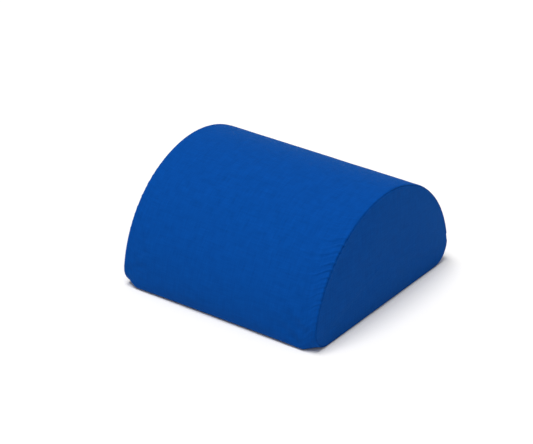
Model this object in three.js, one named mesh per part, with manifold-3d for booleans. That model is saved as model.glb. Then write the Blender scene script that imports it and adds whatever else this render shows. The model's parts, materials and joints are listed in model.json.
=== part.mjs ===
// A half-round lumbar support cushion: a foam core inside a zip-off cloth cover.
// Millimetres, +Z up. X runs along the roll and Y from front to rear.
// The origin is the centre of the flat base.
import * as THREE from "three";
import { mergeVertices } from "three/addons/utils/BufferGeometryUtils.js";
import Module from "manifold-3d";

const wasm = await Module();
wasm.setup();

// Cushion
const LENGTH = 294; // over the two end panels
const WIDTH = 300; // across the dome at its widest
const HEIGHT = 157; // base to crest
const EDGE_R = 6; // rounding of the two long bottom edges

// Cover cloth
const CLOTH = 1.0; // one layer
const GAP = 0.3; // between neighbouring pieces
const SEAM_ALLOWANCE = 10; // cloth turned in at the end seams and beside the zip
const THREAD = 0.5; // sewing thread, laid as a row
const STITCH_INSET = 2.5; // topstitching, from the folded edge beside the zip
const CORE_END_GAP = 1.1; // room for the label between the core and an end panel

// Zip on the rear face, given by depth below the cover's outer face
const ZIP_HEIGHT = 34; // centre line above the base
const SLOT_HALF = 4.7; // half the opening between the folded edges
const CHAIN_SLIT = 0.7; // half the space between the two tapes, and between the two coils
const TAPE_WIDTH = 12.8;
const TAPE_TOP = 2 * CLOTH + 2 * GAP;
const TAPE_THICK = 0.5;
const COIL_HALF = 3.0; // half the chain's width
const COIL_SPINE = 1.0; // width of the closed part of each coil
const COIL_TOP = 0.7;
const COIL_BOTTOM = 2.4;
const COIL_PITCH = 2.8;
const CHAIN_HALF = 131.2; // half the length of the chain
const STOP_LENGTH = 2.5;
const STOP_TOP = 0.1;
const STOP_ROUND = 0.4; // rounding of its corners

// Slider and its pull tab, in the zip's own frame
const SLIDER_HALF = 5.5; // half its length
const SLIDER_FRONT = 4.2; // half width where the two coils enter
const SLIDER_BACK = 3.8; // half width where the closed chain leaves
const SLIDER_TAPER = [-1, 2]; // where its width steps down
const SLIDER_ROUND = 1; // rounding of its corners
const WING = 1.2; // thickness of the top and bottom plates
const WING_TOP = 0.8; // the top plate's face, above the cloth
const NECK_HALF = 0.4; // half the width of the neck between the two coils
const NECK_X = [-5, -1.5];
const BRIDGE_HALF = 1.0; // half the width of the arch that holds the tab
const BRIDGE_REACH = 4.5; // half the length of the arch
const BRIDGE_BAR = 0.9; // thickness of the arch
const BRIDGE_OPEN = 1.5; // height of the opening under the arch
const BRIDGE_ROUND = 1.2;
const TAB_THICK = 0.8;
const TAB_LENGTH = 27;
const TAB_HALF = 3.2;
const TAB_ARM = 1.3; // width of the two arms beside the arch
const TAB_SIDE_GAP = 0.4; // between an arm and the arch
const TAB_END_GAP = 0.8; // between the tab's window and the arch, when the tab lies flat
const TAB_WIDENS = [2, 4, 7]; // beyond the window, where the arms widen to the grip
const GRIP_HOLE = { fromTip: 5, length: 5.2, width: 2.6 };

// Care label inside the left end seam
const LABEL = { y: 45, width: 30, height: 46, thick: 0.4 };

// Fineness of the curves
const DOME_STEPS = 48; // facets over the dome
const EDGE_STEPS = 5; // facets round a bottom edge
const CORNER_STEPS = 6; // facets round a metal part's corner
const SAME_POINT = 1e-4; // points closer than this are one

// Worked out from the sizes above
const HALF_PI = Math.PI / 2;
const SHOULDER_Y = WIDTH / 2 - EDGE_R;
const SHOULDER_Z = HEIGHT - 2 * EDGE_R;
const DOME_R = EDGE_R + (SHOULDER_Y ** 2 + SHOULDER_Z ** 2) / (2 * SHOULDER_Z); // touches crest and edges
const DOME_Z = HEIGHT - DOME_R; // height of the dome's centre
const DOME_END = Math.atan2(SHOULDER_Y, EDGE_R - DOME_Z); // from the crest to where an edge begins
const END_X = LENGTH / 2; // outer face of an end panel
const WRAP_X = END_X - CLOTH - GAP; // end of the wrap panel
const ZIP_TURN = Math.asin((ZIP_HEIGHT - DOME_Z) / DOME_R); // the zip's outward normal, up from +Y
const LIP_TOP = TAPE_TOP + TAPE_THICK + GAP; // the end panels' turned-in lip passes under the tapes
const LIP_BOTTOM = LIP_TOP + CLOTH;
const SLIDER_REST = -(CHAIN_HALF + GAP - SLIDER_HALF - 2 * GAP); // closed, clear of the top stops
const BOTTOM_WING = TAPE_TOP + TAPE_THICK + GAP; // depth of the bottom plate's face
const CORE_RECESS = BOTTOM_WING + WING + 2 * GAP; // depth of the core's face behind the zip
const CORE_END_INSET = LIP_BOTTOM + 2 * GAP + THREAD; // depth of the core's face under the end seams

// The section's outline, as its outward normal turns anticlockwise from the rear: dome, front edge,
// rear edge. The flat base is the straight line between the two edges, where the normal points down.
const ARCS = [
  { from: HALF_PI - DOME_END, to: HALF_PI + DOME_END, y: 0, z: DOME_Z, r: DOME_R, steps: DOME_STEPS },
  { from: HALF_PI + DOME_END, to: 3 * HALF_PI, y: -SHOULDER_Y, z: EDGE_R, r: EDGE_R, steps: EDGE_STEPS },
  { from: 3 * HALF_PI, to: 5 * HALF_PI - DOME_END, y: SHOULDER_Y, z: EDGE_R, r: EDGE_R, steps: EDGE_STEPS },
  { from: 5 * HALF_PI - DOME_END, to: 5 * HALF_PI, y: 0, z: DOME_Z, r: DOME_R, steps: DOME_STEPS / 2 },
];
const ROUND = [ARCS[0].from, ARCS[0].from + 2 * Math.PI];

// Points on the outline, inset by a depth, from one turn of the normal to another.
function outline(depth, from, to) {
  const points = [];
  for (const arc of ARCS) {
    const start = Math.max(from, arc.from);
    const end = Math.min(to, arc.to);
    if (start >= end) continue;
    const step = (arc.to - arc.from) / arc.steps;
    const turns = [start];
    for (let i = 1; i < arc.steps; i++) {
      const turn = arc.from + i * step;
      if (turn > start && turn < end) turns.push(turn);
    }
    turns.push(end);
    for (const turn of turns) {
      const reach = arc.r - depth;
      const point = new THREE.Vector2(arc.y + reach * Math.cos(turn), arc.z + reach * Math.sin(turn));
      const last = points[points.length - 1];
      if (!last || last.distanceTo(point) > SAME_POINT) points.push(point);
    }
  }
  return points;
}

// The whole outline as a closed loop.
function loop(depth) {
  return outline(depth, ...ROUND).slice(0, -1);
}

// The turn of the normal at a distance up the dome from the zip's centre line.
function zipTurn(up) {
  return ZIP_TURN + up / DOME_R;
}

// The stretch of outline that the wrap panel covers: all but the zip's opening.
const WRAP = [zipTurn(SLOT_HALF), zipTurn(-SLOT_HALF) + 2 * Math.PI];

// A band between two depths, along a stretch of the outline.
function band(top, bottom, from, to) {
  return [...outline(top, from, to), ...outline(bottom, from, to).reverse()];
}

// Extrudes a YZ section along X.
const SECTION_TO_PART = new THREE.Matrix4().makeBasis(
  new THREE.Vector3(0, 1, 0),
  new THREE.Vector3(0, 0, 1),
  new THREE.Vector3(1, 0, 0),
);
function prism(points, x0, x1, hole) {
  const shape = new THREE.Shape(points);
  if (hole) shape.holes.push(new THREE.Path(hole));
  return new THREE.ExtrudeGeometry(shape, { depth: x1 - x0, bevelEnabled: false })
    .applyMatrix4(SECTION_TO_PART)
    .translate(x0, 0, 0);
}

// Extrudes a plan outline from one height to another.
function plate(shape, z0, z1) {
  const options = { depth: z1 - z0, bevelEnabled: false, curveSegments: CORNER_STEPS };
  return new THREE.ExtrudeGeometry(shape, options).translate(0, 0, z0);
}

function box(x0, x1, y0, y1, z0, z1) {
  const middle = [(x0 + x1) / 2, (y0 + y1) / 2, (z0 + z1) / 2];
  return new THREE.BoxGeometry(x1 - x0, y1 - y0, z1 - z0).translate(...middle);
}

function toSolid(geometry) {
  const bare = geometry.clone();
  bare.deleteAttribute("normal");
  bare.deleteAttribute("uv");
  const merged = mergeVertices(bare, SAME_POINT);
  const mesh = new wasm.Mesh({
    numProp: 3,
    vertProperties: merged.attributes.position.array,
    triVerts: new Uint32Array(merged.index.array),
  });
  return new wasm.Manifold(mesh);
}

// One geometry from several overlapping ones.
function join(...geometries) {
  const whole = geometries.map(toSolid).reduce((a, b) => a.add(b));
  const mesh = whole.getMesh();
  const geometry = new THREE.BufferGeometry()
    .setAttribute("position", new THREE.BufferAttribute(new Float32Array(mesh.vertProperties), 3))
    .setIndex(new THREE.BufferAttribute(mesh.triVerts, 1))
    .toNonIndexed();
  geometry.computeVertexNormals();
  return geometry;
}

const blueCloth = new THREE.MeshStandardMaterial({ color: 0x0c4a9c, roughness: 0.9, metalness: 0 });
const blueTape = new THREE.MeshStandardMaterial({ color: 0x123f86, roughness: 0.85, metalness: 0 });
const blueNylon = new THREE.MeshStandardMaterial({ color: 0x15458f, roughness: 0.45, metalness: 0 });
const blueThread = new THREE.MeshStandardMaterial({ color: 0x1450a4, roughness: 0.7, metalness: 0 });
const zincAlloy = new THREE.MeshStandardMaterial({ color: 0x9a9ca0, roughness: 0.35, metalness: 1 });
const creamFoam = new THREE.MeshStandardMaterial({ color: 0xe9dfc2, roughness: 1, metalness: 0 });
const whiteSatin = new THREE.MeshStandardMaterial({ color: 0xf2f2ee, roughness: 0.5, metalness: 0 });

function part(name, geometry, material) {
  const mesh = new THREE.Mesh(geometry, material);
  mesh.name = name;
  return mesh;
}

// Foam block. It steps in behind the zip and under the end seams, where the cloth presses into it.
function foamCore() {
  const notch = SLOT_HALF + SEAM_ALLOWANCE + 2 * GAP;
  const [top, bottom] = [zipTurn(notch), zipTurn(-notch)];
  const body = [
    ...outline(CLOTH + GAP, top, bottom + 2 * Math.PI),
    ...outline(CORE_RECESS, bottom, top),
  ];
  const bodyX = END_X - CLOTH - SEAM_ALLOWANCE - 2 * GAP;
  const coreX = END_X - CLOTH - CORE_END_GAP;
  return join(prism(body, -bodyX, bodyX), prism(loop(CORE_END_INSET), -coreX, coreX));
}

// One piece of cloth from the zip's upper edge over the dome, round the front and base, and up to
// the zip's lower edge. It is folded under along both sides of the zip and at both ends.
function wrapPanel() {
  const [from, to] = WRAP;
  const [under, deep] = [CLOTH + GAP, 2 * CLOTH + GAP];
  const fold = CLOTH / DOME_R;
  const hem = SEAM_ALLOWANCE / DOME_R;
  const section = [
    ...outline(0, from, to),
    ...outline(deep, to - hem, to).reverse(),
    ...outline(under, to - hem, to - fold),
    ...outline(CLOTH, from + fold, to - fold).reverse(),
    ...outline(under, from + fold, from + hem),
    ...outline(deep, from, from + hem).reverse(),
  ];
  const pieces = [prism(section, -WRAP_X, WRAP_X)];
  const turned = band(under, deep, from, to);
  const folded = band(0, deep, from, to);
  for (const side of [-1, 1]) {
    const hemX = [side * (WRAP_X - SEAM_ALLOWANCE), side * WRAP_X].sort((a, b) => a - b);
    const foldX = [side * (WRAP_X - CLOTH), side * WRAP_X].sort((a, b) => a - b);
    pieces.push(prism(turned, ...hemX), prism(folded, ...foldX));
  }
  return join(...pieces);
}

// A D-shaped panel with its edge turned in, under the wrap panel's own turned-in edge.
function endPanel(side) {
  const face = [side * (END_X - CLOTH), side * END_X].sort((a, b) => a - b);
  const lip = [side * (END_X - CLOTH - SEAM_ALLOWANCE), side * (END_X - CLOTH / 2)].sort((a, b) => a - b);
  return join(prism(loop(0), ...face), prism(loop(LIP_TOP), ...lip, loop(LIP_BOTTOM)));
}

// The lockstitch that closes an end seam, in the corner behind the panel's lip.
function seamThread(side) {
  const top = LIP_BOTTOM + GAP;
  const x = side * (END_X - CLOTH - GAP - THREAD / 2);
  return prism(loop(top), x - THREAD / 2, x + THREAD / 2, loop(top + THREAD));
}

// A row of topstitching on the cloth beside the zip.
function topstitch(side) {
  const edges = [side * (SLOT_HALF + STITCH_INSET), side * (SLOT_HALF + STITCH_INSET + THREAD)];
  const [from, to] = edges.map(zipTurn).sort((a, b) => a - b);
  return prism(band(-GAP / 2 - THREAD, -GAP / 2, from, to), -WRAP_X, WRAP_X);
}

function zipperTape(side) {
  const edges = [side * CHAIN_SLIT, side * (CHAIN_SLIT + TAPE_WIDTH)];
  const [from, to] = edges.map(zipTurn).sort((a, b) => a - b);
  return prism(band(TAPE_TOP, TAPE_TOP + TAPE_THICK, from, to), -WRAP_X, WRAP_X);
}

// One half of the chain, as a comb whose teeth point at the other half.
// side is 1 above the slit and -1 below it.
function coil(side) {
  const spineY = COIL_HALF - COIL_SPINE;
  const teeth = Math.floor((2 * CHAIN_HALF) / COIL_PITCH) - 1;
  const start = -((teeth - 1) * COIL_PITCH) / 2 + (side * COIL_PITCH) / 4;
  const half = COIL_PITCH / 4;
  const shape = new THREE.Shape().moveTo(-CHAIN_HALF, -side * COIL_HALF);
  shape.lineTo(-CHAIN_HALF, -side * spineY);
  for (let i = 0; i < teeth; i++) {
    const x = start + i * COIL_PITCH;
    shape.lineTo(x - half, -side * spineY);
    shape.lineTo(x - half, -side * CHAIN_SLIT);
    shape.lineTo(x + half, -side * CHAIN_SLIT);
    shape.lineTo(x + half, -side * spineY);
  }
  shape.lineTo(CHAIN_HALF, -side * spineY);
  shape.lineTo(CHAIN_HALF, -side * COIL_HALF);
  return plate(shape, -COIL_BOTTOM, -COIL_TOP);
}

// A stop clamped on the chain's end, between two distances across it.
function stop(x0, y0, y1) {
  const r = STOP_ROUND;
  const [x1, low, high] = [x0 + STOP_LENGTH, Math.min(y0, y1), Math.max(y0, y1)];
  const shape = new THREE.Shape().moveTo(x0 + r, low);
  shape.lineTo(x1 - r, low).quadraticCurveTo(x1, low, x1, low + r);
  shape.lineTo(x1, high - r).quadraticCurveTo(x1, high, x1 - r, high);
  shape.lineTo(x0 + r, high).quadraticCurveTo(x0, high, x0, high - r);
  shape.lineTo(x0, low + r).quadraticCurveTo(x0, low, x0 + r, low);
  return plate(shape, -COIL_BOTTOM, -STOP_TOP);
}

// The plan of a slider's plate: widest at the front, where the two coils come in.
function sliderPlan() {
  const [half, front, back, r] = [SLIDER_HALF, SLIDER_FRONT, SLIDER_BACK, SLIDER_ROUND];
  const [taper, end] = SLIDER_TAPER;
  const shape = new THREE.Shape().moveTo(-half + r, -front);
  shape.lineTo(taper, -front).quadraticCurveTo((taper + end) / 2, -front, end, -back);
  shape.lineTo(half - r, -back).quadraticCurveTo(half, -back, half, -back + r);
  shape.lineTo(half, back - r).quadraticCurveTo(half, back, half - r, back);
  shape.lineTo(end, back).quadraticCurveTo((taper + end) / 2, front, taper, front);
  shape.lineTo(-half + r, front).quadraticCurveTo(-half, front, -half, front - r);
  shape.lineTo(-half, -front + r).quadraticCurveTo(-half, -front, -half + r, -front);
  return shape;
}

// The arch that holds the pull tab, as a side view extruded across the slider.
function sliderBridge() {
  const [reach, r] = [BRIDGE_REACH, BRIDGE_ROUND];
  const foot = WING_TOP - WING / 2;
  const ceiling = WING_TOP + BRIDGE_OPEN;
  const crest = ceiling + BRIDGE_BAR;
  const inner = BRIDGE_REACH - BRIDGE_BAR;
  const shape = new THREE.Shape().moveTo(-reach, foot);
  shape.lineTo(-reach, crest - r).quadraticCurveTo(-reach, crest, -reach + r, crest);
  shape.lineTo(reach - r, crest).quadraticCurveTo(reach, crest, reach, crest - r);
  shape.lineTo(reach, foot);
  shape.lineTo(inner, foot).lineTo(inner, ceiling);
  shape.lineTo(-inner, ceiling).lineTo(-inner, foot);
  return plate(shape, -BRIDGE_HALF, BRIDGE_HALF).rotateX(HALF_PI);
}

// Two plates joined by a neck between the coils, with flanges beside the chain and the arch on top.
function sliderBody() {
  const underside = WING_TOP - WING;
  const root = underside + WING / 2; // inside the top plate
  const flange = COIL_HALF + GAP;
  const flangeX = SLIDER_HALF - SLIDER_ROUND;
  const pieces = [
    plate(sliderPlan(), underside, WING_TOP),
    plate(sliderPlan(), -BOTTOM_WING - WING, -BOTTOM_WING),
    box(...NECK_X, -NECK_HALF, NECK_HALF, -BOTTOM_WING - WING / 2, root),
    sliderBridge(),
  ];
  for (const side of [-1, 1]) {
    const across = [side * flange, side * SLIDER_BACK].sort((a, b) => a - b);
    pieces.push(box(-flangeX, flangeX, ...across, -TAPE_TOP + GAP, root));
  }
  return join(...pieces);
}

// A flat plate with a window for the arch and an oval hole in its grip. Its end bar lies on the hinge axis.
function pullTab() {
  const bar = TAB_THICK / 2;
  const window = BRIDGE_REACH + TAB_END_GAP;
  const inner = BRIDGE_HALF + TAB_SIDE_GAP;
  const arm = inner + TAB_ARM;
  const [start, bend, end] = TAB_WIDENS.map((beyond) => window + beyond);
  const shape = new THREE.Shape().moveTo(-bar, -arm);
  shape.lineTo(start, -arm).quadraticCurveTo(bend, -TAB_HALF, end, -TAB_HALF);
  shape.lineTo(TAB_LENGTH - TAB_HALF, -TAB_HALF);
  shape.absarc(TAB_LENGTH - TAB_HALF, 0, TAB_HALF, -HALF_PI, HALF_PI, false);
  shape.lineTo(end, TAB_HALF).quadraticCurveTo(bend, TAB_HALF, start, arm);
  shape.lineTo(-bar, arm).lineTo(-bar, -arm);
  const opening = new THREE.Path().moveTo(bar, -inner);
  opening.lineTo(bar, inner).lineTo(window, inner).lineTo(window, -inner);
  const { fromTip, length, width } = GRIP_HOLE;
  const grip = new THREE.Path();
  grip.absellipse(TAB_LENGTH - fromTip, 0, length / 2, width / 2, 0, 2 * Math.PI, true);
  shape.holes.push(opening, grip);
  const axis = WING_TOP + BRIDGE_OPEN / 2;
  return plate(shape, axis - bar, axis + bar);
}

// A folded strip stitched into the left end seam, beside the core.
function careLabel() {
  const x = -(END_X - CLOTH - GAP);
  const z = CORE_END_INSET;
  return box(x, x + LABEL.thick, LABEL.y, LABEL.y + LABEL.width, z, z + LABEL.height);
}

const cushion = new THREE.Group();
cushion.add(
  part("foam_core", foamCore(), creamFoam),
  part("cover_wrap_panel", wrapPanel(), blueCloth),
  part("cover_end_panel_left", endPanel(-1), blueCloth),
  part("cover_end_panel_right", endPanel(1), blueCloth),
  part("seam_thread_left", seamThread(-1), blueThread),
  part("seam_thread_right", seamThread(1), blueThread),
  part("topstitch_thread_upper", topstitch(1), blueThread),
  part("topstitch_thread_lower", topstitch(-1), blueThread),
  part("zipper_tape_upper", zipperTape(1), blueTape),
  part("zipper_tape_lower", zipperTape(-1), blueTape),
  part("care_label", careLabel(), whiteSatin),
);

// The chain, stops, slider and tab sit in the zip's own frame.
// Its X runs along the zip, its Y down the rear face and its Z outwards.
const zip = new THREE.Group();
zip.position.set(0, DOME_R * Math.cos(ZIP_TURN), DOME_Z + DOME_R * Math.sin(ZIP_TURN));
zip.rotation.x = ZIP_TURN - HALF_PI;
const stopX = CHAIN_HALF + GAP;
zip.add(
  part("zipper_coil_upper", coil(1), blueNylon),
  part("zipper_coil_lower", coil(-1), blueNylon),
  part("zipper_top_stop_upper", stop(-stopX - STOP_LENGTH, -CHAIN_SLIT, -COIL_HALF), zincAlloy),
  part("zipper_top_stop_lower", stop(-stopX - STOP_LENGTH, CHAIN_SLIT, COIL_HALF), zincAlloy),
  part("zipper_bottom_stop", stop(stopX, -COIL_HALF, COIL_HALF), zincAlloy),
);

// The slider at its closed end. It slides along X, and the tab turns about the bar under the arch.
const slider = new THREE.Group();
slider.position.x = SLIDER_REST;
slider.add(part("zipper_slider", sliderBody(), zincAlloy), part("zipper_pull_tab", pullTab(), zincAlloy));
zip.add(slider);
cushion.add(zip);

export default cushion;
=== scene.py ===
"""Looks of a half-round lumbar cushion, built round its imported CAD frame. Lengths are in metres."""

import json
import math
import random

import bpy
import numpy as np
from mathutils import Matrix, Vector, noise


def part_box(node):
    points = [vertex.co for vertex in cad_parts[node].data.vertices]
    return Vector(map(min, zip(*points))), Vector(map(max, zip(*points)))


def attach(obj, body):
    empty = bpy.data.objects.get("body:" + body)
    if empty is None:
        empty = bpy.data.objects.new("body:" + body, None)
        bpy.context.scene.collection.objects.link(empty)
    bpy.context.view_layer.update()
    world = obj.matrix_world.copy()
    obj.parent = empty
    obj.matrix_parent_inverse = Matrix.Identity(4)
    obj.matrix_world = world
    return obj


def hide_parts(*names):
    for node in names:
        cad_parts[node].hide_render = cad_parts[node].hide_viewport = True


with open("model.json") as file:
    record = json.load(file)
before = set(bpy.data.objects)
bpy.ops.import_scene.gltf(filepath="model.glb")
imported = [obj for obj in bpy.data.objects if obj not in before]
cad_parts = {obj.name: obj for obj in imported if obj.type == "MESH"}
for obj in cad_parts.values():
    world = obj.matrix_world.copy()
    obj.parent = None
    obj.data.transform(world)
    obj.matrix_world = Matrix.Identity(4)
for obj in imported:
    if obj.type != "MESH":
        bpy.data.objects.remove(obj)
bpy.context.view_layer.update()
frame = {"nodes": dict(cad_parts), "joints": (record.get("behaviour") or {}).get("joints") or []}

MM = 0.001

# Cushion, from the CAD boxes
HALF_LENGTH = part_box("cover_end_panel_right")[1].x
HALF_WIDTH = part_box("cover_wrap_panel")[1].y
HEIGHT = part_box("cover_wrap_panel")[1].z
EDGE_R = 6 * MM  # rounding of the long bottom edges at mid-length, as in the CAD

# The end seams pull the section in softly: its bottom edges grow rounder over the last stretch.
SOFT_REACH = 22 * MM
SOFT_EDGE = (16 * MM, 22 * MM)  # more rounding at the left end and at the right end
SOFT_PULL = 1.6 * MM

# Zip, from its joints. The tab's hinge axis runs up across the zip.
TAB_HINGE = next(joint for joint in frame["joints"] if joint["name"] == "pull_tab_flip")
ALONG = Vector((1, 0, 0))
ACROSS = Vector(TAB_HINGE["axis"])
OUTWARD = ACROSS.cross(ALONG)
HINGE_RISE = 1.55 * MM  # of the tab's hinge above the cover's face
ZIP_MIDDLE = Vector((0, *TAB_HINGE["pos_m"][1:])) - HINGE_RISE * OUTWARD
CHAIN_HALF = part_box("zipper_coil_upper")[1].x
TAPE_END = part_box("zipper_tape_upper")[1].x
SLOT_HALF = 4.7 * MM  # half the opening between the folded edges of the cover
TAPE_DEPTH = 2.6 * MM
TAPE_THICK = 0.5 * MM
TAPE_EDGES = (0.45 * MM, 13.5 * MM)  # across the zip
TAPE_CLOSES = 0.4 * MM  # how much nearer the tapes are to each other beyond the chain

# Sewing
CLOTH = 0.6 * MM
ALLOWANCE = 10 * MM  # cloth turned in beyond a seam or fold
ROLL_R = 4 * MM  # soft roll of the wrap panel towards an end seam
ROLL_TURN = math.radians(36)
FOLD_R = 0.7 * MM  # fold at the end seam
FOLD_END = 0.35 * MM  # from the fold to the end plane
SLOT_FOLD_R = 1.15 * MM  # fold beside the zip
RIM_R = 1.0 * MM  # roll of an end panel at its seam
SEAM_GAP = 0.1 * MM
LIP_DIP = 1.4 * MM  # more depth of an end panel's lip, where it passes under the tapes
LIP_DIP_EASE = (4 * MM, 2 * MM)  # round the section, and along the roll
TOPSTITCH_INSET = 2.75 * MM
STITCH_PITCH = 3.2 * MM
STITCH_LENGTH = 2.7 * MM


# ---- Section ----


def ease(t):
    """A smooth step from 0 to 1 as t goes from 0 to 1."""
    t = np.clip(t, 0, 1)
    return t * t * (3 - 2 * t)


def section(x):
    """Edge radius, its centre's distance from the middle, dome radius, dome centre height, and the dome's
    angle from the crest to where an edge begins, at a place along the roll."""
    soft = ease((np.abs(x) - HALF_LENGTH + SOFT_REACH) / SOFT_REACH)
    edge = EDGE_R + np.where(np.asarray(x) < 0, *SOFT_EDGE) * soft
    shoulder = HALF_WIDTH - SOFT_PULL * soft - edge
    rise = HEIGHT - 2 * edge
    dome = edge + (shoulder**2 + rise**2) / (2 * rise)
    centre = HEIGHT - dome
    return edge, shoulder, dome, centre, np.arctan2(shoulder, edge - centre)


def lengths(x):
    """Lengths of the section's stretches, in order from the zip up.

    They are the dome, front edge, base, rear edge, and the rest of the dome up to the zip.
    """
    edge, shoulder, dome, centre, reach = section(x)
    zip_angle = np.arccos((ZIP_MIDDLE.z - centre) / dome)
    corner = edge * (np.pi - reach)
    return dome * (reach + zip_angle), corner, 2 * shoulder, corner, dome * (reach - zip_angle)


GIRTH = float(sum(lengths(0.0)))
_, _, DOME_R, DOME_Z, _ = section(0.0)

# Distances round the section at mid-length, from the zip up to the crest, and over it to the front edge
CREST = float(DOME_R * np.arccos((ZIP_MIDDLE.z - DOME_Z) / DOME_R))
FRONT_EDGE = float(lengths(0.0)[0])

# Where the section takes up its shorter way round near the ends, as shares of the girth: start and length
TAKE_UP = (0.15, 0.7)


def skin(s, x, depth):
    """Points a distance s up from the zip round the section, at x along the roll, below the cover's face."""
    s, x, depth = np.broadcast_arrays(s, x, depth)
    edge, shoulder, dome, centre, reach = section(x)
    over, front, base, rear, rest = lengths(x)
    slack = GIRTH - (over + front + base + rear + rest)
    s = s - slack * ease((s / GIRTH - TAKE_UP[0]) / TAKE_UP[1])
    stops = np.cumsum([over, front, base, rear], axis=0)
    zip_angle = over / dome - reach
    on = [s < stop for stop in stops]
    angle = np.select(
        on,
        [s / dome - zip_angle, reach + (s - stops[0]) / edge, np.pi, np.pi + (s - stops[2]) / edge],
        2 * np.pi - reach + (s - stops[3]) / dome,
    )
    middle_y = np.select(on, [0, -shoulder, s - stops[1] - shoulder, shoulder], 0)
    flat = on[3] & ~on[0]
    middle_z = np.where(flat, edge, centre)
    radius = np.where(flat, edge, dome) - depth
    return np.stack([x, middle_y - radius * np.sin(angle), middle_z + radius * np.cos(angle)], axis=-1)


# ---- Meshes ----


def add_object(name, vertices, faces, uvs=None):
    """A smooth mesh object. uvs holds one pair for each vertex, in metres."""
    mesh = bpy.data.meshes.new(name)
    mesh.from_pydata(vertices.tolist(), [], faces)
    mesh.shade_smooth()
    if uvs is not None:
        layer = mesh.uv_layers.new(name="cloth")
        corner = np.zeros(len(mesh.loops), dtype=int)
        mesh.loops.foreach_get("vertex_index", corner)
        layer.uv.foreach_set("vector", uvs[corner].astype(np.float32).ravel())
    made = bpy.data.objects.new(name, mesh)
    bpy.context.scene.collection.objects.link(made)
    return made


def grid_faces(rows, columns, closed=False, flip=False):
    """Quads between the rows and columns of a grid. A closed grid joins its last row to its first."""
    faces = []
    for i in range(rows if closed else rows - 1):
        j = (i + 1) % rows
        for k in range(columns - 1):
            quad = (i * columns + k, i * columns + k + 1, j * columns + k + 1, j * columns + k)
            faces.append(quad if flip else quad[::-1])
    return faces


def closed_faces(rows, columns):
    """The faces of a closed grid, with both of its ends filled in."""
    faces = grid_faces(rows, columns, closed=True)
    faces.append(tuple(i * columns for i in reversed(range(rows))))
    faces.append(tuple(i * columns + columns - 1 for i in range(rows)))
    return faces


def sheet(name, points, uvs, flip=False):
    """A cloth sheet from a grid of points."""
    rows, columns = points.shape[:2]
    faces = grid_faces(rows, columns, flip=flip)
    return add_object(name, points.reshape(-1, 3), faces, uvs.reshape(-1, 2))


def thicken(piece, thickness):
    """Gives a sheet its thickness, inwards from its face."""
    solid = piece.modifiers.new("cloth thickness", "SOLIDIFY")
    solid.thickness = thickness
    solid.offset = -1
    return piece


def tubes(name, paths, sides=8):
    """Round cords joined in one mesh. Each path is (points, radii, a direction across the cord)."""
    vertices, faces, first = [], [], 0
    turns = np.arange(sides) * 2 * np.pi / sides
    for points, radii, side in paths:
        tangent = np.gradient(points, axis=0)
        tangent /= np.linalg.norm(tangent, axis=1, keepdims=True)
        right = np.cross(tangent, side)
        right /= np.linalg.norm(right, axis=1, keepdims=True)
        up = np.cross(right, tangent)
        ring = np.cos(turns)[None, :, None] * right[:, None] + np.sin(turns)[None, :, None] * up[:, None]
        vertices.append((points[:, None] + radii[:, None, None] * ring).reshape(-1, 3))
        last = first + (len(points) - 1) * sides
        for row in range(first, last, sides):
            for k in range(sides):
                n = (k + 1) % sides
                faces.append((row + k, row + sides + k, row + sides + n, row + n))
        faces.append(tuple(first + k for k in range(sides)))
        faces.append(tuple(last + k for k in reversed(range(sides))))
        first += len(points) * sides
    return add_object(name, np.concatenate(vertices), faces)


# ---- Cloth relief ----

# Short sharp creases where the seam's thread has drawn the cloth in, and longer soft folds between them
CREASES = {
    "pitch": (5 * MM, 12 * MM),
    "width": (1.1 * MM, 1.9 * MM),
    "length": (12 * MM, 34 * MM),
    "height": (0.3 * MM, 1.9 * MM),
}
FOLDS = {
    "pitch": (11 * MM, 24 * MM),
    "width": (3.0 * MM, 5.0 * MM),
    "length": (24 * MM, 42 * MM),
    "height": (0.2 * MM, 0.9 * MM),
}
SLANT = (0.0, 0.3)  # drop along a crease, away from the seam
MOSTLY_LOW = 1.6  # power that makes low creases more common than high ones

# How strongly each seam has drawn in, on the front face and on the rear one
DRAWN_IN = {-1: (0.2, 0.35), 1: (1.0, 0.08)}
SCALLOP = 0.9  # sideways shift of the seam per unit of crease height
SCALLOP_REACH = 4 * MM

# How slack the cloth is along an end seam, by the distance down from the crest
TAUT = 0.06  # over the crest
SLACKENS = (48 * MM, 70 * MM)  # start and length of the stretch where it grows slack
TIGHTENS = (168 * MM, 30 * MM)  # start and length of the stretch where it grows tighter again
TIGHTER = 0.65  # share of the slack that is lost there

# The floor presses the cloth flat from part of the way round each bottom edge
PRESSED_FROM = 0.35  # share of an edge's arc
PRESSED_EASE = 12 * MM

# Broad unevenness of the cloth: breadth and height
UNEVEN = ((70 * MM, 0.35 * MM), (28 * MM, 0.12 * MM))


def on_front(s):
    """Whether a place round the section is on the front face, or on the front half of the base."""
    return CREST < s < FRONT_EDGE + HALF_WIDTH


def make_creases(seed, kind, side):
    """Creases of one kind across the cloth beside an end seam."""
    draw = random.Random(seed)
    low, high = kind["height"]
    front, rear = DRAWN_IN[side]
    creases = []
    s = 0.0
    while s < GIRTH:
        s += draw.uniform(*kind["pitch"])
        crease = {
            "s": s,
            "width": draw.uniform(*kind["width"]),
            "length": draw.uniform(*kind["length"]),
            "height": (front if on_front(s) else rear) * (low + (high - low) * draw.random() ** MOSTLY_LOW),
            "slant": draw.uniform(*SLANT) * (1 if on_front(s) else -1),
        }
        creases.append(crease)
    return creases


CREASED = {
    -1: make_creases(11, CREASES, -1) + make_creases(12, FOLDS, -1),
    1: make_creases(5, CREASES, 1) + make_creases(6, FOLDS, 1),
}


def off_base(s):
    """1 on the cloth above the base, easing to 0 where the floor presses it flat."""
    over, front, base, rear, _ = lengths(0.0)
    start = over + front * PRESSED_FROM
    end = over + front + base + rear * (1 - PRESSED_FROM)
    return 1 - ease((s - start) / PRESSED_EASE + 1) * ease((end - s) / PRESSED_EASE + 1)


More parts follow.
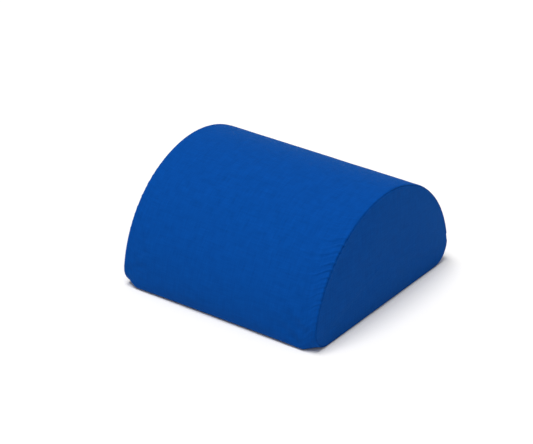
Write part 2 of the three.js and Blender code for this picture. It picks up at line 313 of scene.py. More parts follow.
def slackness(s):
    """How slack the cloth is along an end seam: taut over the crest, slack half-way down, tighter below."""
    down = np.abs(s - CREST)
    slack = TAUT + (1 - TAUT) * ease((down - SLACKENS[0]) / SLACKENS[1])
    return slack * (1 - TIGHTER * ease((down - TIGHTENS[0]) / TIGHTENS[1])) * off_base(s)


def crease_height(s, inset, side):
    """Height of the creases at a distance in from an end seam."""
    total = np.zeros(np.broadcast(s, inset).shape)
    for crease in CREASED[side]:
        near = np.exp(-(((s - crease["s"] - crease["slant"] * inset) / crease["width"]) ** 2))
        fade = np.exp(-((inset / crease["length"]) ** 2))
        total += crease["height"] * near * fade
    return total * slackness(s)


def undulation(points, size, height):
    """Smooth unevenness of the cloth, of a given breadth and height."""
    flat = points.reshape(-1, 3) / size
    values = [noise.noise(Vector(point)) for point in flat]
    return height * np.array(values).reshape(points.shape[:-1])


def unevenness(points):
    """Height of the cloth's broad unevenness."""
    return sum(undulation(points, *size_and_height) for size_and_height in UNEVEN)


# ---- Crown, by cloth simulation ----

SIM_ROWS = 120  # round the section
SIM_COLUMNS = 50  # along the wrap panel
SIM_RINGS = 13  # from the middle of an end panel out to its seam
SIM_INNER = 0.06  # size of the innermost ring, as a share of the outermost
SIM_FRAMES = 20
PRESSURE = 4.0
MOST_CROWN = 5 * MM
ZIP_HOLD = 15 * MM  # cloth held by the zip, each side of its middle
FLOOR_HOLD = 0.3 * MM  # cloth this near the floor is held by the cushion's weight
END_MIDDLE = np.array([0, 0, 0.42 * HEIGHT])  # middle of an end panel, in its plane


def end_share(points, rim):
    """How far out points of an end panel lie, as a share of the distance from its middle to its seam."""
    reach = np.linalg.norm((points - END_MIDDLE)[..., 1:], axis=-1)
    return reach / np.linalg.norm((rim - END_MIDDLE)[..., 1:], axis=-1)


def closed_cover():
    """The whole cover as one coarse closed grid, from the middle of the left end panel out to its seam,
    along the wrap panel, and in to the middle of the right end panel. Also says which points are held."""
    out = np.linspace(SIM_INNER, 1, SIM_RINGS + 1)[:-1]
    along = np.linspace(-HALF_LENGTH, HALF_LENGTH, SIM_COLUMNS)
    share = np.concatenate([out, np.ones(SIM_COLUMNS), out[::-1]])[None, :, None]
    x = np.concatenate([np.full(SIM_RINGS, -HALF_LENGTH), along, np.full(SIM_RINGS, HALF_LENGTH)])
    s = np.arange(SIM_ROWS)[:, None] * GIRTH / SIM_ROWS
    outline = skin(s, x[None, :], 0)
    middle = END_MIDDLE + x[None, :, None] * np.array(ALONG)
    points = outline * share + middle * (1 - share)
    seam = (np.abs(x) > HALF_LENGTH - MM) & (share[0, :, 0] == 1)
    base = (points[..., 2] < FLOOR_HOLD) & (share[..., 0] == 1)
    zip_edge = (np.minimum(s, GIRTH - s) < ZIP_HOLD) & (share[..., 0] == 1)
    return points, seam[None, :] | base | zip_edge


def blown_up(points, held):
    """How far each point of a closed grid moves as pressure fills it out, with some points held."""
    rows, columns = held.shape
    faces = closed_faces(rows, columns)
    piece = add_object("blown_cover", points.reshape(-1, 3), faces)
    pins = piece.vertex_groups.new(name="held")
    pins.add(np.flatnonzero(held).tolist(), 1.0, "REPLACE")
    cloth = piece.modifiers.new("cloth", "CLOTH")
    cloth.settings.vertex_group_mass = "held"
    cloth.settings.use_pressure = True
    cloth.settings.uniform_pressure_force = PRESSURE
    cloth.settings.effector_weights.gravity = 0
    cloth.collision_settings.use_collision = False
    cloth.point_cache.frame_end = SIM_FRAMES
    for frame_number in range(1, SIM_FRAMES + 1):
        bpy.context.scene.frame_set(frame_number)
    shape = piece.evaluated_get(bpy.context.evaluated_depsgraph_get())
    moved = np.zeros(points.size)
    shape.data.vertices.foreach_get("co", moved)
    bpy.data.objects.remove(piece)
    bpy.context.scene.frame_set(1)
    return moved.reshape(points.shape) - points


def crown():
    """The simulated movement over the closed grid, capped, and level across each end panel's middle."""
    points, held = closed_cover()
    movement = blown_up(points, held)
    distance = np.linalg.norm(movement, axis=-1, keepdims=True)
    movement *= np.minimum(1, MOST_CROWN / np.maximum(distance, MM))
    movement[:, 0] = movement[:, 0].mean(axis=0)
    movement[:, -1] = movement[:, -1].mean(axis=0)
    return movement


CROWN = crown()


def smooth_weights(t):
    """Catmull-Rom weights of the four grid lines about a place, a share t past the second one."""
    return (
        (-1, (-t + 2 * t**2 - t**3) / 2),
        (0, (2 - 5 * t**2 + 3 * t**3) / 2),
        (1, (t + 4 * t**2 - 3 * t**3) / 2),
        (2, (t**3 - t**2) / 2),
    )


def crown_at(s, column):
    """The crown at a distance s round the section and a place along the closed grid's columns."""
    row = np.asarray(s) / GIRTH * SIM_ROWS
    column = np.clip(column, 0, CROWN.shape[1] - 1)
    row, column = np.broadcast_arrays(row, column)
    i, j = np.floor(row).astype(int), np.floor(column).astype(int)
    total = np.zeros(row.shape + (3,))
    for a, row_weight in smooth_weights(row - i):
        for b, column_weight in smooth_weights(column - j):
            near = CROWN[(i + a) % SIM_ROWS, np.clip(j + b, 0, CROWN.shape[1] - 1)]
            total += (row_weight * column_weight)[..., None] * near
    return total


def wrap_crown(s, x):
    """The crown of the wrap panel."""
    return crown_at(s, SIM_RINGS + (x / HALF_LENGTH + 1) / 2 * (SIM_COLUMNS - 1))


def end_crown(s, share, side):
    """The crown of an end panel."""
    column = np.minimum((share - SIM_INNER) / (1 - SIM_INNER), 1) * SIM_RINGS
    last = CROWN.shape[1] - 1
    return crown_at(s, column if side < 0 else last - column)


# ---- Cover ----

FINE_REACH = 48 * MM  # of the fine columns, in from where the wrap panel starts to roll
FINE_STEP = 2 * MM
COARSE_STEP = 7 * MM
TAUT_HALF = 90 * MM  # half the stretch over the crest that has no creases to speak of
CREASE_ROW = 0.8 * MM
TAUT_ROW = 1.8 * MM
BASE_ROW = 3 * MM
SEAM_FLATTENS = 0.6  # share of the relief that is lost down in a seam
RIM_ROW = 1.5 * MM
RIM_FADE = 5 * MM  # depth over which an end panel's creases fade
FACE_STEPS = np.array([0.8, 1.8, 3, 4.5, 6.5, 9, 12, 15.5]) * MM  # in from an end panel's rim
INNER_RINGS = 20  # of an end panel, from there to its middle

# Points on the small curves of the cloth
ROLL_POINTS = 7
FOLD_POINTS = 13
HEM_POINTS = 8
SLOT_FOLD_POINTS = 11
RIM_POINTS = 9


def spaced(a, b, step):
    """Evenly spaced values from a to b, about a step apart."""
    return np.linspace(a, b, max(2, round(abs(b - a) / step) + 1))


def end_profile():
    """The wrap panel's line from where it starts to roll to the end of its turned-in hem:
    distances in from the end plane, and depths."""
    small = ROLL_R - FOLD_R
    middle_in = FOLD_END + FOLD_R
    middle_deep = ROLL_R - small * math.cos(ROLL_TURN)
    roll_in = middle_in + small * math.sin(ROLL_TURN)
    roll = np.linspace(0, ROLL_TURN, ROLL_POINTS)[:-1]
    fold = np.linspace(ROLL_TURN, np.pi, FOLD_POINTS)
    hem = middle_in + np.linspace(0, ALLOWANCE, HEM_POINTS)[1:]
    inward = np.concatenate([roll_in - ROLL_R * np.sin(roll), middle_in - FOLD_R * np.sin(fold), hem])
    roll_deep = ROLL_R * (1 - np.cos(roll))
    fold_deep = middle_deep - FOLD_R * np.cos(fold)
    hem_deep = np.full(len(hem), middle_deep + FOLD_R)
    return inward, np.concatenate([roll_deep, fold_deep, hem_deep])


END_INWARD, END_DEEP = end_profile()
SEAM_DEPTH = END_DEEP[-1]


def wrap_columns():
    """The wrap panel's line from the left hem to the right hem: x and depth."""
    near = HALF_LENGTH - END_INWARD[0]
    fine = near - spaced(0, FINE_REACH, FINE_STEP)[1:]
    coarse = spaced(0, fine[-1], COARSE_STEP)[:-1]
    right_x = np.concatenate([coarse, fine[::-1], HALF_LENGTH - END_INWARD])
    right_deep = np.concatenate([np.zeros(len(coarse) + len(fine)), END_DEEP])
    x = np.concatenate([-right_x[:0:-1], right_x])
    deep = np.concatenate([right_deep[:0:-1], right_deep])
    return x, deep


def wrap_rows():
    """The wrap panel's line from the zip's upper hem round to its lower hem: s and depth."""
    fold = np.linspace(0, np.pi, SLOT_FOLD_POINTS)
    fold_s = SLOT_HALF + SLOT_FOLD_R - SLOT_FOLD_R * np.sin(fold)
    fold_deep = SLOT_FOLD_R - SLOT_FOLD_R * np.cos(fold)
    hem = spaced(SLOT_HALF + SLOT_FOLD_R, SLOT_HALF + ALLOWANCE, BASE_ROW)[1:]
    up_s = np.concatenate([hem[::-1], fold_s[::-1]])
    up_deep = np.concatenate([np.full(len(hem), 2 * SLOT_FOLD_R), fold_deep[::-1]])
    over, front, base = lengths(0.0)[:3]
    on_base = [over + front, over + front + base]
    stops = [up_s[-1], CREST - TAUT_HALF, CREST + TAUT_HALF, *on_base, GIRTH - up_s[-1]]
    steps = [CREASE_ROW, TAUT_ROW, CREASE_ROW, BASE_ROW, CREASE_ROW]
    face = np.concatenate([spaced(a, b, step)[1:] for a, b, step in zip(stops, stops[1:], steps)])[:-1]
    s = np.concatenate([up_s, face, GIRTH - up_s[::-1]])
    deep = np.concatenate([up_deep, np.zeros(len(face)), up_deep[::-1]])
    return s, deep


def wrap_panel():
    """The cloth over the dome, front edge, base and rear, open at the zip, with its hems."""
    x, end_deep = wrap_columns()
    s, slot_deep = wrap_rows()
    s, x = s[:, None], x[None, :]
    side = np.where(x < 0, -1, 1)
    inset = HALF_LENGTH - np.abs(x)
    height = np.where(side > 0, crease_height(s, inset, 1), crease_height(s, inset, -1))
    on_face = 1 - ease(end_deep / SEAM_DEPTH) * SEAM_FLATTENS
    near_seam = np.exp(-((inset / SCALLOP_REACH) ** 2))
    shifted = x + side * SCALLOP * height * near_seam
    depth = end_deep[None, :] + slot_deep[:, None] - height * on_face
    lift = unevenness(skin(s, shifted, depth)) * off_base(s)
    points = skin(s, shifted, depth - lift * on_face) + wrap_crown(s, x)
    run = np.concatenate([[0], np.cumsum(np.hypot(np.diff(x[0]), np.diff(end_deep)))])
    uvs = np.stack(np.broadcast_arrays(run[None, :], s), axis=-1)
    return thicken(sheet("wrap_panel_cloth", points, uvs), CLOTH)


def end_panel(name, side):
    """A D-shaped panel: its turned-in lip, the rim rolled to the face, and the face in to its middle."""
    rim_top = SEAM_DEPTH + SEAM_GAP
    lip_in = spaced(ALLOWANCE, RIM_R, FINE_STEP)[:-1]
    turn = np.linspace(0, np.pi / 2, RIM_POINTS)
    rim_in = RIM_R * (1 - np.sin(turn))
    rim_deep = rim_top + RIM_R * (1 - np.cos(turn))
    face_deep = rim_deep[-1] + FACE_STEPS
    inward = np.concatenate([lip_in, rim_in, np.zeros(len(face_deep))])
    deep = np.concatenate([np.full(len(lip_in), rim_top), rim_deep, face_deep])
    s = spaced(0, GIRTH, RIM_ROW)[:-1, None]
    under_tape = 1 - ease((np.minimum(s, GIRTH - s) - TAPE_EDGES[1]) / LIP_DIP_EASE[0])
    deep = deep + LIP_DIP * under_tape * ease((inward - RIM_R) / LIP_DIP_EASE[1])
    height = crease_height(s, 0, side)
    fade = np.exp(-(((deep - rim_top) / RIM_FADE) ** 2)) * np.exp(-((inward / SCALLOP_REACH) ** 2))
    x = HALF_LENGTH - inward[None, :] + height * fade * SCALLOP
    rings = skin(s, side * x, deep)
    shares = np.linspace(1, 0, INNER_RINGS + 2)[None, 1:-1, None]
    inner = rings[:, -1:, :] * shares + END_MIDDLE * (1 - shares)
    inner[..., 0] = side * HALF_LENGTH
    points = np.concatenate([rings, inner], axis=1)
    rim = skin(s, side * HALF_LENGTH, 0)
    points += end_crown(s, end_share(points, rim), side)
    return thicken(capped_sheet(name, points, side < 0), CLOTH)


def capped_sheet(name, points, flip):
    """A closed ring of rows whose last column is filled with a fan round a middle point."""
    rows, columns = points.shape[:2]
    faces = grid_faces(rows, columns, True, flip)
    hub = rows * columns
    for i in range(rows):
        fan = (i * columns + columns - 1, hub, (i + 1) % rows * columns + columns - 1)
        faces.append(fan if flip else fan[::-1])
    vertices = np.concatenate([points.reshape(-1, 3), points[:, -1].mean(axis=0)[None]])
    return add_object(name, vertices, faces, vertices[:, 1:])


FOAM_GAP = 2.2 * MM  # between the cover's face and the foam
FOAM_CORNER = 14 * MM
FOAM_CORNER_POINTS = 8
FOAM_STEP = 12 * MM  # along the roll
FOAM_NOTCH = 4 * MM  # depth of the step behind the zip
FOAM_NOTCH_HALF = 15 * MM
FOAM_NOTCH_EASE = 6 * MM


def foam_block():
    """The foam core: it steps in behind the zip and rounds off under the end seams."""
    end = HALF_LENGTH - FOAM_GAP
    turn = np.linspace(0, np.pi / 2, FOAM_CORNER_POINTS)
    straight = spaced(0, end - FOAM_CORNER, FOAM_STEP)[:-1]
    right_x = np.concatenate([straight, end - FOAM_CORNER * (1 - np.sin(turn))])
    right_deep = np.concatenate([np.zeros(len(straight)), FOAM_CORNER * (1 - np.cos(turn))])
    x = np.concatenate([-right_x[:0:-1], right_x])[None, :]
    deep = np.concatenate([right_deep[:0:-1], right_deep])[None, :]
    s = spaced(0, GIRTH, BASE_ROW)[:-1, None]
    notch = 1 - ease((np.minimum(s, GIRTH - s) - FOAM_NOTCH_HALF) / FOAM_NOTCH_EASE)
    points = skin(s, x, FOAM_GAP + deep + FOAM_NOTCH * notch)
    rows, columns = points.shape[:2]
    return add_object("foam_block", points.reshape(-1, 3), closed_faces(rows, columns))


# ---- Sewing and zip ----

THREAD_R = 0.22 * MM
THREAD_TIP = 0.55  # thread radius at a hole, as a share of the whole radius
THREAD_RISE = 1.3  # rise of a stitch's middle above its holes, in thread radii
THREAD_SINK = 0.8  # depth of the holes, in thread radii
STITCH_POINTS = 7


def stitch(start, end, rise):
    """A stitch from one hole to the next: it dives at both ends and stands a little proud between them."""
    share = np.linspace(0, 1, STITCH_POINTS)
    arch = np.sin(np.pi * share) ** 0.5
    height = (arch[:, None] * THREAD_RISE - THREAD_SINK) * THREAD_R
    points = start + (end - start) * share[:, None] + rise * height
    return points, THREAD_R * (THREAD_TIP + (1 - THREAD_TIP) * arch), rise


def on_cloth(s, x):
    """Points on the wrap panel's face, away from its creases."""
    lift = unevenness(skin(s, x, 0)) * off_base(s)
    return skin(s, x, -lift) + wrap_crown(s, x)


def topstitch(name, side):
    """A row of stitches on the cloth beside the zip. side is 1 above the zip and -1 below it."""
    inset = SLOT_HALF + TOPSTITCH_INSET
    s = inset if side > 0 else GIRTH - inset
    starts = np.arange(-TAPE_END + STITCH_PITCH / 2, TAPE_END - STITCH_PITCH, STITCH_PITCH)
    paths = []
    for x in starts:
        start, end = on_cloth(s, np.array([x, x + STITCH_LENGTH]))
        paths.append(stitch(start, end, np.array(OUTWARD)))
    return tubes(name, paths)


def seam_stitches(name, side):
    """The lockstitch down in an end seam."""
    x = side * (HALF_LENGTH - FOLD_END - 2 * FOLD_R)
    paths = []
    for s in np.arange(SLOT_HALF, GIRTH - SLOT_HALF, STITCH_PITCH):
        start, end = skin(np.array([s, s + STITCH_LENGTH]), x, SEAM_DEPTH - SEAM_GAP)
        paths.append(stitch(start, end, side * np.array(ALONG)))
    return tubes(name, paths, 6)


def in_zip(x, across, out):
    """Points in the zip's own frame."""
    x, across, out = np.broadcast_arrays(x, across, out)
    return (
        np.array(ZIP_MIDDLE)
        + x[..., None] * np.array(ALONG)
        + across[..., None] * np.array(ACROSS)
        + out[..., None] * np.array(OUTWARD)
    )


TAPE_STEP = 3 * MM
TAPE_CLOSING = 4 * MM  # stretch over which the tapes draw together beyond the chain
TAPE_ROWS = 10


def tape(name, side):
    """A zip tape, which lies just below the slot. side is 1 above the zip and -1 below it."""
    x = spaced(-TAPE_END, TAPE_END, TAPE_STEP)[None, :]
    inner = TAPE_EDGES[0] - TAPE_CLOSES * ease((np.abs(x) - CHAIN_HALF) / TAPE_CLOSING)
    share = np.linspace(0, 1, TAPE_ROWS)[:, None]
    across = side * (inner + (TAPE_EDGES[1] - inner) * share)
    s = across if side > 0 else GIRTH + across
    points = skin(s, x, TAPE_DEPTH)
    uvs = np.stack(np.broadcast_arrays(x, across), axis=-1)
    return thicken(sheet(name, points, uvs, flip=side < 0), TAPE_THICK)


COIL_PITCH = 1.55 * MM
WIRE_R = 0.3 * MM
COIL_EDGES = (-0.45 * MM, 3.0 * MM)  # across the zip: the two coils mesh past its middle
COIL_DEPTHS = (0.7 * MM, 2.4 * MM)
COIL_LEAN = 0.6  # how far the loops stay upright instead of winding evenly
COIL_START = 0.7  # of the first turn, in from the chain's end, in pitches
COIL_OFFSET = 0.25  # of a coil's turns each way, so that they mesh with the other one's, in pitches
HEAD_SWELL = 0.3  # more wire radius at a loop's head
POINTS_PER_TURN = 14


def coil(name, side):
    """A nylon monofilament wound into flattened loops, with a swollen head on each by the zip's middle."""
    turns = int(2 * CHAIN_HALF / COIL_PITCH) - 1
    phase = np.arange(turns * POINTS_PER_TURN + 1) / POINTS_PER_TURN
    angle = 2 * np.pi * phase
    reach = (COIL_EDGES[1] - COIL_EDGES[0]) / 2 - WIRE_R
    drop = (COIL_DEPTHS[1] - COIL_DEPTHS[0]) / 2 - WIRE_R
    across = (COIL_EDGES[0] + COIL_EDGES[1]) / 2 - reach * np.cos(angle)
    out = -(COIL_DEPTHS[0] + COIL_DEPTHS[1]) / 2 + drop * np.sin(angle)
    drift = -COIL_LEAN * np.sin(angle) / (2 * np.pi)
    x = -CHAIN_HALF + COIL_PITCH * (COIL_START + phase + drift + side * COIL_OFFSET)
    head = np.clip(np.cos(angle), 0, 1) ** 4
    points = in_zip(x, side * across, out)
    return tubes(name, [(points, WIRE_R * (1 + HEAD_SWELL * head), np.array(ALONG))])


# ---- Materials ----

CLOTH_BLUE = (0.002, 0.0545, 0.28, 1)
CLOTH_GLINT = (0.02, 0.6, 0.9, 1)
CLOTH_SHEEN = (0.1, 0.9, 0.75, 1)
THREAD_BLUE = (0.006, 0.1, 0.46, 1)
THREAD_SHEEN = (0.1, 0.4, 1, 1)
TAPE_BLUE = (0.006, 0.06, 0.28, 1)
COIL_BLUE = (0.008, 0.07, 0.32, 1)
NICKEL = (0.62, 0.62, 0.63, 1)
FOAM_CREAM = (0.8, 0.74, 0.55, 1)
LABEL_WHITE = (0.88, 0.88, 0.86, 1)
FLOOR_WHITE = (0.865, 0.855, 0.84, 1)
WEAVE_PITCH = 0.42 * MM
WEAVE_ROUND = 0.6  # share of the weave's height that is a thread's own roundness
WEAVE_OVER = 0.4  # share that is its rise over the other thread
RIB_PITCH = 0.7 * MM
ZIGZAG = 1.6 * MM  # run of a tape's rib before it changes slant


def node(tree, kind, inputs=None, **settings):
    """A shader node. An input's value is a number, a colour or another node's output."""
    made = tree.nodes.new("ShaderNode" + kind)
    for key, value in settings.items():
        setattr(made, key, value)
    for key, value in (inputs or {}).items():
        if isinstance(value, bpy.types.NodeSocket):
            tree.links.new(value, made.inputs[key])
        else:
            made.inputs[key].default_value = value
    return made


def math_node(tree, operation, *values):
    """The result of a sum on numbers and other nodes' outputs."""
    return node(tree, "Math", dict(enumerate(values)), operation=operation).outputs[0]


def new_material(name, roughness, metallic=0.0):
    """A material, with its node tree and its shader."""
    material = bpy.data.materials.new(name)
    material.use_nodes = True
    shader = material.node_tree.nodes["Principled BSDF"]
    shader.inputs["Roughness"].default_value = roughness
    shader.inputs["Metallic"].default_value = metallic
    return material, material.node_tree, shader


def noise_node(tree, vector, scale, detail=3.0):
    """Smooth noise of 0 to 1."""
    return node(tree, "TexNoise", {"Vector": vector, "Scale": scale, "Detail": detail}).outputs["Fac"]


def brightened(tree, colour, factor):
    """A colour times a grey factor."""
    grey = node(tree, "CombineColor", {0: factor, 1: factor, 2: factor}).outputs[0]
    mixed = node(tree, "Mix", {0: 1.0, 6: colour, 7: grey}, data_type="RGBA", blend_type="MULTIPLY")
    return mixed.outputs[2]


def spread(tree, value, low, high):
    """Maps a value of 0 to 1 onto low to high."""
    return node(tree, "MapRange", {"Value": value, "To Min": low, "To Max": high}).outputs["Result"]


def bump(tree, height, distance, strength=1.0, under=None):
    """A surface direction tilted by a height, on top of another bump if there is one."""
    inputs = {"Height": height, "Distance": distance, "Strength": strength}
    if under is not None:
        inputs["Normal"] = under
    return node(tree, "Bump", inputs).outputs["Normal"]


def plain_weave(tree, u, v, pitch):
    """Height of a plain weave, 0 to 1: warp threads along v, weft threads along u, over one and under one."""
    rate = math.pi / pitch
    warp = math_node(tree, "SINE", math_node(tree, "MULTIPLY", u, rate))
    weft = math_node(tree, "SINE", math_node(tree, "MULTIPLY", v, rate))
    both = math_node(tree, "MULTIPLY", math_node(tree, "SIGN", warp), weft)
    warp_top = math_node(tree, "MULTIPLY_ADD", math_node(tree, "ABSOLUTE", warp), WEAVE_ROUND, 0.0)
    warp_high = math_node(tree, "MULTIPLY_ADD", both, WEAVE_OVER, warp_top)
    across = math_node(tree, "MULTIPLY", math_node(tree, "SIGN", weft), warp)
    weft_top = math_node(tree, "MULTIPLY_ADD", math_node(tree, "ABSOLUTE", weft), WEAVE_ROUND, 0.0)
    weft_high = math_node(tree, "MULTIPLY_ADD", across, -WEAVE_OVER, weft_top)
    return math_node(tree, "MAXIMUM", warp_high, weft_high)


def cloth_coordinates(tree):
    """Places along the cloth in metres: as a vector, and along each thread."""
    uv = node(tree, "UVMap", uv_map="cloth").outputs["UV"]
    parts = node(tree, "SeparateXYZ", {0: uv})
    return uv, parts.outputs["X"], parts.outputs["Y"]


def object_place(tree):
    """Places in an object's own space."""
    return node(tree, "TexCoord").outputs["Object"]


def stretched(tree, vector, x, y):
    """Places scaled along two of their axes."""
    return node(tree, "Mapping", {"Vector": vector, "Scale": (x, y, 1)}).outputs[0]


def slubs(tree, uv, length, width):
    """Yarns that run thick and thin, along both threads of the weave. Lengths are in metres."""
    along = noise_node(tree, stretched(tree, uv, 1 / length, 1 / width), 1.0)
    across = noise_node(tree, stretched(tree, uv, 1 / width, 1 / length), 1.0)
    return math_node(tree, "MULTIPLY", math_node(tree, "ADD", along, across), 0.5)


def shaded(tree, shade, pattern, amount):
    """A shade that follows a pattern of 0 to 1, by an amount each way."""
    return math_node(tree, "ADD", shade, spread(tree, pattern, -amount, amount))


def cover_cloth():
    """Tightly woven royal-blue cloth: a plain weave with slubs, faint mottling, painted shade between its
    threads and a soft sheen.
    """
    material, tree, shader = new_material("cover_cloth", 0.85)
    uv, u, v = cloth_coordinates(tree)
    weave = plain_weave(tree, u, v, WEAVE_PITCH)
    yarns = slubs(tree, uv, 14 * MM, 0.5 * MM)
    streaks = slubs(tree, uv, 26 * MM, 2.2 * MM)
    mottle = noise_node(tree, uv, 90, 4)
    shade = shaded(tree, 1.0, yarns, 0.25)
    shade = shaded(tree, shade, streaks, 0.3)
    shade = shaded(tree, shade, mottle, 0.12)
    # Painted shade: the weave's height tints the colour, darker between the threads and lighter on their
    # tops.
    shade = shaded(tree, shade, weave, 0.06)
    colour = brightened(tree, CLOTH_BLUE, shade)
    tree.links.new(colour, shader.inputs["Base Color"])
    shader.inputs["Specular IOR Level"].default_value = 0.05
    shader.inputs["Specular Tint"].default_value = CLOTH_GLINT
    shader.inputs["Sheen Weight"].default_value = 0.06
    shader.inputs["Sheen Roughness"].default_value = 0.4
    shader.inputs["Sheen Tint"].default_value = CLOTH_SHEEN
    ripple = noise_node(tree, uv, 120, 3)
    soft = bump(tree, ripple, 0.25 * MM, 0.6)
    slubbed = bump(tree, yarns, 0.06 * MM, 0.6, bump(tree, streaks, 0.10 * MM, 0.6, soft))
    tree.links.new(bump(tree, weave, 0.10 * MM, 0.7, slubbed), shader.inputs["Normal"])
    return material


def thread():
    """Twisted polyester sewing thread, with painted shade in the grooves of its twist."""
    material, tree, shader = new_material("sewing_thread", 0.6)
    lay = {"Vector": object_place(tree), "Scale": 900.0, "Distortion": 1.0}
    twist = node(tree, "TexWave", lay, bands_direction="DIAGONAL").outputs["Fac"]
    # Painted shade: the twist's grooves are coloured darker than its ridges.
    colour = brightened(tree, THREAD_BLUE, spread(tree, twist, 0.75, 1.1))
    tree.links.new(colour, shader.inputs["Base Color"])
    tree.links.new(bump(tree, twist, 0.05 * MM, 0.8), shader.inputs["Normal"])
    shader.inputs["Sheen Weight"].default_value = 0.1
    shader.inputs["Sheen Tint"].default_value = THREAD_SHEEN
    return material


def tape_cloth():
    """Herringbone zip tape: ribs that change slant every few millimetres, with painted shade between them."""
    material, tree, shader = new_material("zipper_tape", 0.8)
    uv, u, v = cloth_coordinates(tree)
    zigzag = math_node(tree, "PINGPONG", v, ZIGZAG)
    slant = math_node(tree, "ADD", u, zigzag)
    rib = math_node(tree, "SINE", math_node(tree, "MULTIPLY", slant, 2 * math.pi / RIB_PITCH))
    rib = spread(tree, rib, 0.35, 1.0)
    grain = noise_node(tree, uv, 1500)
    # Painted shade: the colour is darker in the grooves between the ribs. The grain adds a random tone of the
    # yarn.
    shade = math_node(tree, "MULTIPLY", rib, spread(tree, grain, 0.8, 1.15))
    tree.links.new(brightened(tree, TAPE_BLUE, shade), shader.inputs["Base Color"])
    tree.links.new(bump(tree, rib, 0.12 * MM, 0.8), shader.inputs["Normal"])
    return material


def coil_nylon():
    """Dyed nylon wire, satin, with slight changes in shade and polish."""
    material, tree, shader = new_material("zipper_coil", 0.32)
    spot = object_place(tree)
    shade = spread(tree, noise_node(tree, spot, 300), 0.85, 1.1)
    tree.links.new(brightened(tree, COIL_BLUE, shade), shader.inputs["Base Color"])
    tree.links.new(spread(tree, noise_node(tree, spot, 900), 0.25, 0.42), shader.inputs["Roughness"])
    shader.inputs["Coat Weight"].default_value = 0.15
    return material


def zip_metal():
    """Nickel-plated zinc: satin, with fine scuffs and a few duller patches."""
    material, tree, shader = new_material("zipper_metal", 0.3, 1.0)
    spot = object_place(tree)
    patches = noise_node(tree, spot, 250, 5)
    scuffs = noise_node(tree, stretched(tree, spot, 200, 2500), 1.0, 4)
    shade = spread(tree, patches, 0.85, 1.05)
    tree.links.new(brightened(tree, NICKEL, shade), shader.inputs["Base Color"])
    tree.links.new(spread(tree, scuffs, 0.18, 0.45), shader.inputs["Roughness"])
    tree.links.new(bump(tree, scuffs, 0.02 * MM, 0.4), shader.inputs["Normal"])
    return material


def foam():
    """Open-celled polyurethane: fine round pores in cream foam, with painted shade in the pores."""
    material, tree, shader = new_material("foam", 0.95)
    spot = object_place(tree)
    cells = node(tree, "TexVoronoi", {"Vector": spot, "Scale": 900.0}).outputs["Distance"]
    clouds = spread(tree, noise_node(tree, spot, 30), 0.9, 1.05)
    # Painted shade: each pore's hollow middle is coloured darker than its rim. The clouds are a random tone
    # of the foam.
    shade = math_node(tree, "MULTIPLY", spread(tree, cells, 0.7, 1.1), clouds)
    tree.links.new(brightened(tree, FOAM_CREAM, shade), shader.inputs["Base Color"])
    tree.links.new(bump(tree, cells, 0.5 * MM, 0.8), shader.inputs["Normal"])
    shader.inputs["Subsurface Weight"].default_value = 0.1
    shader.inputs["Subsurface Scale"].default_value = 2 * MM
    return material


def label_satin():
    """White woven satin with fine ribs, with painted shade in their grooves."""
    material, tree, shader = new_material("label_satin", 0.4)
    lay = {"Vector": object_place(tree), "Scale": 700.0}
    ribs = node(tree, "TexWave", lay, bands_direction="Z").outputs["Fac"]
    # Painted shade: the grooves between the ribs are coloured a little darker.
    colour = brightened(tree, LABEL_WHITE, spread(tree, ribs, 0.9, 1.0))
    tree.links.new(colour, shader.inputs["Base Color"])
    tree.links.new(bump(tree, ribs, 0.04 * MM, 0.6), shader.inputs["Normal"])
    return material


def dress(piece, material):
    """Gives a piece its only material."""
    piece.data.materials.clear()
    piece.data.materials.append(material)
    return piece


# ---- Stage ----

VIEW_AZIMUTH = math.radians(36.02)
VIEW_ELEVATION = math.radians(27.89)
VIEW_DISTANCE = 2.952
VIEW_TARGET = Vector((-0.0385, 0.0085, 0.0557))
VIEW_LENS = 156.4
SKY_SIDE = 0.36  # strength of the light from the sides and below
SKY_TOP = 0.55  # strength of the light from straight above
FLOOR_HALF = 60.0
FLOOR_DROP = 0.2 * MM  # of the floor below the base
LAMP_PLACE = (-15, 78)  # azimuth and elevation in degrees: azimuth 0 is on the front side and 90 on the right
LAMP_SPREAD = 30  # degrees
LAMP_STRENGTH = 2.6


def towards(azimuth, elevation):
    """The direction from the cushion to something seen at these angles, in radians."""
    level = math.cos(elevation)
    return Vector((math.sin(azimuth) * level, -math.cos(azimuth) * level, math.sin(elevation)))


def floor():
    """A wide white floor, under the cushion but not part of it."""
    mesh = bpy.data.meshes.new("floor")
    r = FLOOR_HALF
    mesh.from_pydata([(-r, -r, 0), (r, -r, 0), (r, r, 0), (-r, r, 0)], [], [(0, 1, 2, 3)])
    made = bpy.data.objects.new("floor", mesh)
    bpy.context.scene.collection.objects.link(made)
    made.location.z = -FLOOR_DROP
    material, _, shader = new_material("floor", 0.9)
    shader.inputs["Base Color"].default_value = FLOOR_WHITE
    shader.inputs["Specular IOR Level"].default_value = 0.0
    dress(made, material)


def lamp():
    """A broad light high above the front."""
    light = bpy.data.lights.new("lamp", "SUN")
    light.angle = math.radians(LAMP_SPREAD)
    light.energy = LAMP_STRENGTH
    made = bpy.data.objects.new("lamp", light)
    direction = towards(*(math.radians(angle) for angle in LAMP_PLACE))
    made.rotation_euler = direction.to_track_quat("Z", "Y").to_euler()
    bpy.context.scene.collection.objects.link(made)


def sky():
    """Soft white light all round, stronger from above. The camera sees it as a plain white backdrop."""
    world = bpy.data.worlds.new("studio")
    bpy.context.scene.world = world
    world.use_nodes = True
    tree = world.node_tree
    height = node(tree, "SeparateXYZ", {0: node(tree, "TexCoord").outputs["Generated"]}).outputs["Z"]
    light = spread(tree, height, SKY_SIDE, SKY_TOP)
    seen = node(tree, "LightPath").outputs["Is Camera Ray"]
    strength = node(tree, "Mix", {0: seen, 2: light, 3: 1.0}).outputs[0]
    background = tree.nodes["Background"]
    background.inputs["Color"].default_value = (1, 1, 1, 1)
    tree.links.new(strength, background.inputs["Strength"])


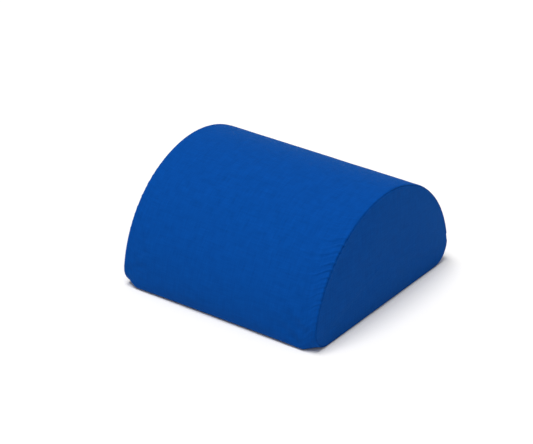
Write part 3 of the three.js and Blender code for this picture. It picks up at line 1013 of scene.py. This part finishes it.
def camera():
    """The photo's view."""
    data = bpy.data.cameras.new("camera")
    data.lens = VIEW_LENS
    made = bpy.data.objects.new("camera", data)
    bpy.context.scene.collection.objects.link(made)
    back = towards(VIEW_AZIMUTH, VIEW_ELEVATION)
    made.location = VIEW_TARGET + back * VIEW_DISTANCE
    made.rotation_euler = back.to_track_quat("Z", "Y").to_euler()
    bpy.context.scene.camera = made


# ---- Build ----


def place(piece, material, slot, *nodes):
    """Gives a piece its look, and puts it in the place of the CAD nodes that it replaces."""
    dress(piece, material)
    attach(piece, "cushion")
    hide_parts(*nodes)


CLOTH_LOOK = cover_cloth()
THREAD_LOOK = thread()
TAPE_LOOK = tape_cloth()
COIL_LOOK = coil_nylon()
METAL_LOOK = zip_metal()

place(foam_block(), foam(), "foam", "foam_core")
place(wrap_panel(), CLOTH_LOOK, "cover_cloth", "cover_wrap_panel")
place(end_panel("end_panel_cloth_left", -1), CLOTH_LOOK, "cover_cloth", "cover_end_panel_left")
place(end_panel("end_panel_cloth_right", 1), CLOTH_LOOK, "cover_cloth", "cover_end_panel_right")
place(seam_stitches("seam_stitches_left", -1), THREAD_LOOK, "sewing_thread", "seam_thread_left")
place(seam_stitches("seam_stitches_right", 1), THREAD_LOOK, "sewing_thread", "seam_thread_right")
place(topstitch("topstitches_upper", 1), THREAD_LOOK, "sewing_thread", "topstitch_thread_upper")
place(topstitch("topstitches_lower", -1), THREAD_LOOK, "sewing_thread", "topstitch_thread_lower")
place(tape("woven_tape_upper", 1), TAPE_LOOK, "zipper_tape", "zipper_tape_upper")
place(tape("woven_tape_lower", -1), TAPE_LOOK, "zipper_tape", "zipper_tape_lower")
place(coil("nylon_coil_upper", 1), COIL_LOOK, "zipper_coil", "zipper_coil_upper")
place(coil("nylon_coil_lower", -1), COIL_LOOK, "zipper_coil", "zipper_coil_lower")

BEVEL = 0.12 * MM
METAL_NODES = (
    "zipper_slider",
    "zipper_pull_tab",
    "zipper_top_stop_upper",
    "zipper_top_stop_lower",
    "zipper_bottom_stop",
)
for name in METAL_NODES:
    metal = dress(frame["nodes"][name], METAL_LOOK)
    rounding = metal.modifiers.new("rounded edges", "BEVEL")
    rounding.width = BEVEL
    rounding.segments = 2
    rounding.limit_method = "ANGLE"
dress(frame["nodes"]["care_label"], label_satin())

floor()
sky()
lamp()
camera()
bpy.context.scene.view_settings.view_transform = "Standard"
